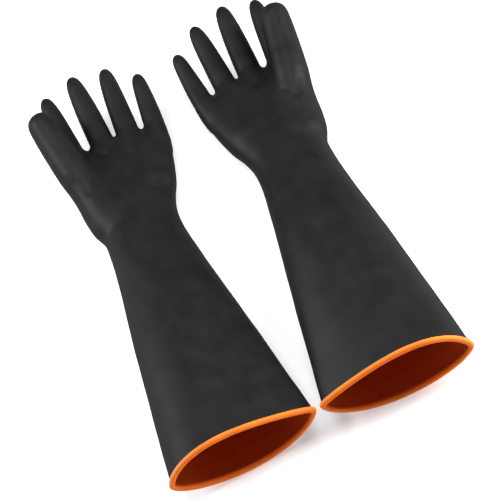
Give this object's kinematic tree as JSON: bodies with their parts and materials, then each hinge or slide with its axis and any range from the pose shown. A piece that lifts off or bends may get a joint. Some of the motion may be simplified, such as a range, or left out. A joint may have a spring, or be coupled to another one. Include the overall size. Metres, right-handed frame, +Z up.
{
  "type": "electrical insulating gloves",
  "caption": "Elbow-length black rubber gauntlets with orange lining and rolled cuff bead, five stalls each, lying palm up as a left and right pair.",
  "frame": {"origin": "centre of the pair's bounding box in X and Y, at the height of the surface the gloves lie on", "axes": "+Y from the cuffs to the fingertips, +Z up out of the palms, +X from the left-hand glove to the right-hand glove"},
  "size_m": [0.3926, 0.6127, 0.0876],
  "materials": {
    "black_rubber": "satin black dipped rubber, faintly bloomed, with broad soft highlights",
    "orange_lining": "satin orange rubber inner layer, seen through the cuff",
    "cuff_bead_orange": "satin bright orange rubber, rolled on itself"
  },
  "bodies": {
    "left_gauntlet": {"left_gauntlet_outer": "black_rubber", "left_gauntlet_lining": "orange_lining", "left_cuff_bead": "cuff_bead_orange"},
    "left_hand": {"left_palm_outer": "black_rubber", "left_palm_lining": "orange_lining"},
    "left_thumb": {"left_thumb_outer": "black_rubber", "left_thumb_lining": "orange_lining"},
    "left_index": {"left_index_outer": "black_rubber", "left_index_lining": "orange_lining"},
    "left_middle": {"left_middle_outer": "black_rubber", "left_middle_lining": "orange_lining"},
    "left_ring": {"left_ring_outer": "black_rubber", "left_ring_lining": "orange_lining"},
    "left_little": {"left_little_outer": "black_rubber", "left_little_lining": "orange_lining"},
    "right_gauntlet": {"right_gauntlet_outer": "black_rubber", "right_gauntlet_lining": "orange_lining", "right_cuff_bead": "cuff_bead_orange"},
    "right_hand": {"right_palm_outer": "black_rubber", "right_palm_lining": "orange_lining"},
    "right_thumb": {"right_thumb_outer": "black_rubber", "right_thumb_lining": "orange_lining"},
    "right_index": {"right_index_outer": "black_rubber", "right_index_lining": "orange_lining"},
    "right_middle": {"right_middle_outer": "black_rubber", "right_middle_lining": "orange_lining"},
    "right_ring": {"right_ring_outer": "black_rubber", "right_ring_lining": "orange_lining"},
    "right_little": {"right_little_outer": "black_rubber", "right_little_lining": "orange_lining"}
  },
  "joints": [
    {"name": "right_glove_lift", "type": "slide", "parent": "left_gauntlet", "child": "right_gauntlet", "axis": [0, 0, 1], "range_m": [0, 0.2]},
    {"name": "left_wrist_flex", "type": "hinge", "parent": "left_gauntlet", "child": "left_hand", "pos_m": [-0.0995, 0.0633, 0.0305], "axis": [1, 0, 0], "range_deg": [0, 40], "stiffness_Nm_per_rad": 0.3},
    {"name": "left_thumb_flex", "type": "hinge", "parent": "left_hand", "child": "left_thumb", "pos_m": [-0.15067, 0.21569, 0.05935], "axis": [0.986, 0.1668, 0], "range_deg": [0, 35], "stiffness_Nm_per_rad": 0.02},
    {"name": "left_index_flex", "type": "hinge", "parent": "left_hand", "child": "left_index", "pos_m": [-0.13452, 0.22706, 0.02821], "axis": [0.9362, 0.0862, -0.3407], "range_deg": [0, 55], "stiffness_Nm_per_rad": 0.02},
    {"name": "left_middle_flex", "type": "hinge", "parent": "left_hand", "child": "left_middle", "pos_m": [-0.09724, 0.22711, 0.02789], "axis": [0.9974, 0.0203, -0.0697], "range_deg": [0, 55], "stiffness_Nm_per_rad": 0.02},
    {"name": "left_ring_flex", "type": "hinge", "parent": "left_hand", "child": "left_ring", "pos_m": [-0.0628, 0.22703, 0.02813], "axis": [0.9943, -0.0806, 0.0695], "range_deg": [0, 55], "stiffness_Nm_per_rad": 0.02},
    {"name": "left_little_flex", "type": "hinge", "parent": "left_hand", "child": "left_little", "pos_m": [-0.03097, 0.21506, 0.02732], "axis": [0.9776, -0.1209, 0.1724], "range_deg": [0, 55], "stiffness_Nm_per_rad": 0.02},
    {"name": "right_wrist_flex", "type": "hinge", "parent": "right_gauntlet", "child": "right_hand", "pos_m": [0.0995, 0.0633, 0.0305], "axis": [1, 0, 0], "range_deg": [0, 40], "stiffness_Nm_per_rad": 0.3},
    {"name": "right_thumb_flex", "type": "hinge", "parent": "right_hand", "child": "right_thumb", "pos_m": [0.15067, 0.21569, 0.05935], "axis": [0.986, -0.1668, 0], "range_deg": [0, 35], "stiffness_Nm_per_rad": 0.02},
    {"name": "right_index_flex", "type": "hinge", "parent": "right_hand", "child": "right_index", "pos_m": [0.13452, 0.22706, 0.02821], "axis": [0.9362, -0.0862, 0.3407], "range_deg": [0, 55], "stiffness_Nm_per_rad": 0.02},
    {"name": "right_middle_flex", "type": "hinge", "parent": "right_hand", "child": "right_middle", "pos_m": [0.09724, 0.22711, 0.02789], "axis": [0.9974, -0.0203, 0.0697], "range_deg": [0, 55], "stiffness_Nm_per_rad": 0.02},
    {"name": "right_ring_flex", "type": "hinge", "parent": "right_hand", "child": "right_ring", "pos_m": [0.0628, 0.22703, 0.02813], "axis": [0.9943, 0.0806, -0.0695], "range_deg": [0, 55], "stiffness_Nm_per_rad": 0.02},
    {"name": "right_little_flex", "type": "hinge", "parent": "right_hand", "child": "right_little", "pos_m": [0.03097, 0.21506, 0.02732], "axis": [0.9776, 0.1209, -0.1724], "range_deg": [0, 55], "stiffness_Nm_per_rad": 0.02}
  ]
}
